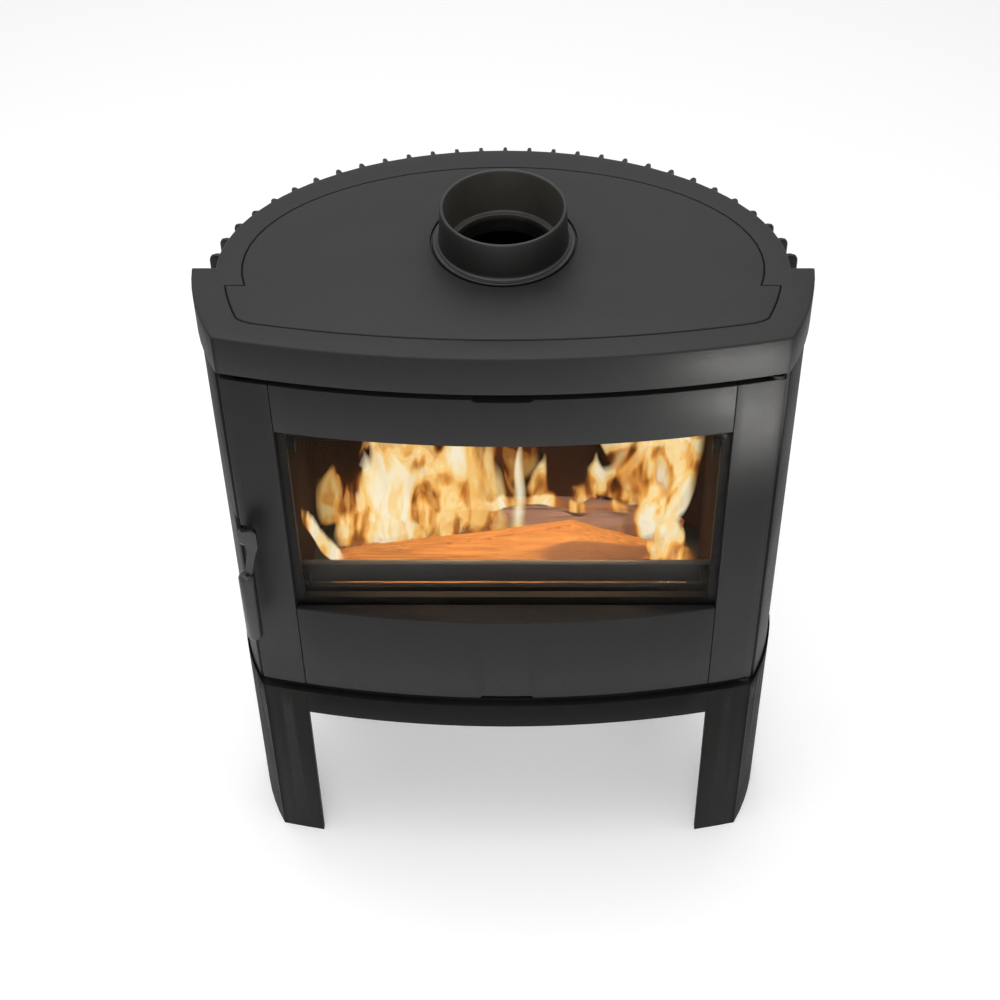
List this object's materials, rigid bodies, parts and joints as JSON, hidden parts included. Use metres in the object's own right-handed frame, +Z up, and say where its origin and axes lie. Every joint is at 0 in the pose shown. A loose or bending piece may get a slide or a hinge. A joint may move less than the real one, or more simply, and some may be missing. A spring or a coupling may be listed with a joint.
{
  "type": "wood stove",
  "caption": "Wide cast iron wood stove with bowed front, glazed hinged door, flared cheeks, ribbed rear shell, top flue collar and L-section legs.",
  "frame": {"origin": "centre of the bounding box at the floor, under the feet", "axes": "+Z up, front with the glass door towards -Y, +X to the right of someone facing the door"},
  "size_m": [0.732, 0.408, 0.99],
  "materials": {
    "cast_iron": "matt stove paint",
    "dark_iron": "matt black, fired",
    "sheet_steel": "matt black sheet",
    "bright_steel": "machined",
    "handle_black": "satin black",
    "stove_glass": "clear ceramic glass",
    "rope_seal": "braided rope",
    "fire_brick": "sooted vermiculite",
    "firewood": "split wood",
    "flame": "glowing"
  },
  "bodies": {
    "body": {"base_frame": "cast_iron", "rear_leg_right": "cast_iron", "rear_leg_left": "cast_iron", "base_plate": "dark_iron", "cheek_right": "cast_iron", "cheek_left": "cast_iron", "rear_shell": "cast_iron", "top_rim": "cast_iron", "top_plate": "cast_iron", "flue_collar": "dark_iron", "flue_ring": "sheet_steel", "front_frame": "dark_iron", "firebox_casing": "sheet_steel", "firebox_top": "sheet_steel", "hearth": "dark_iron", "grate": "dark_iron", "ash_chamber": "sheet_steel", "ash_pan": "sheet_steel", "liner_right": "fire_brick", "liner_left": "fire_brick", "liner_corner_right": "fire_brick", "liner_corner_left": "fire_brick", "liner_back": "fire_brick", "baffle": "fire_brick", "ash_lip": "dark_iron", "log_retainer": "dark_iron", "airwash_channel": "sheet_steel", "log_front": "firewood", "log_rear": "firewood", "hinge_bracket_top": "sheet_steel", "hinge_bracket_bottom": "sheet_steel", "latch_keeper": "bright_steel"},
    "door": {"door_frame": "dark_iron", "door_stile_right": "cast_iron", "door_stile_left": "cast_iron", "door_rail_top": "cast_iron", "door_rail_bottom": "cast_iron", "door_glass": "stove_glass", "door_gasket": "rope_seal", "glass_clip_left_lower": "sheet_steel", "glass_clip_left_upper": "sheet_steel", "glass_clip_right_lower": "sheet_steel", "glass_clip_right_upper": "sheet_steel", "hinge_pin_top": "bright_steel", "hinge_pin_bottom": "bright_steel", "handle_pin": "bright_steel"},
    "handle": {"handle_lever": "handle_black", "handle_grip": "handle_black"},
    "airwash_slide": {"airwash_slide": "sheet_steel"},
    "primary_air_slide": {"primary_air_slide": "sheet_steel"}
  },
  "joints": [
    {"name": "door_hinge", "type": "hinge", "parent": "body", "child": "door", "pos_m": [0.318, -0.161, 0.6], "axis": [0, 0, 1], "range_deg": [0, 105]},
    {"name": "handle_pivot", "type": "hinge", "parent": "door", "child": "handle", "pos_m": [-0.325, -0.16, 0.613], "axis": [-1, 0, 0], "range_deg": [0, 25]},
    {"name": "airwash_control", "type": "slide", "parent": "body", "child": "airwash_slide", "axis": [1, 0, 0], "range_m": [-0.02, 0.02]},
    {"name": "primary_air_control", "type": "slide", "parent": "body", "child": "primary_air_slide", "axis": [1, 0, 0], "range_m": [-0.02, 0.02]}
  ]
}
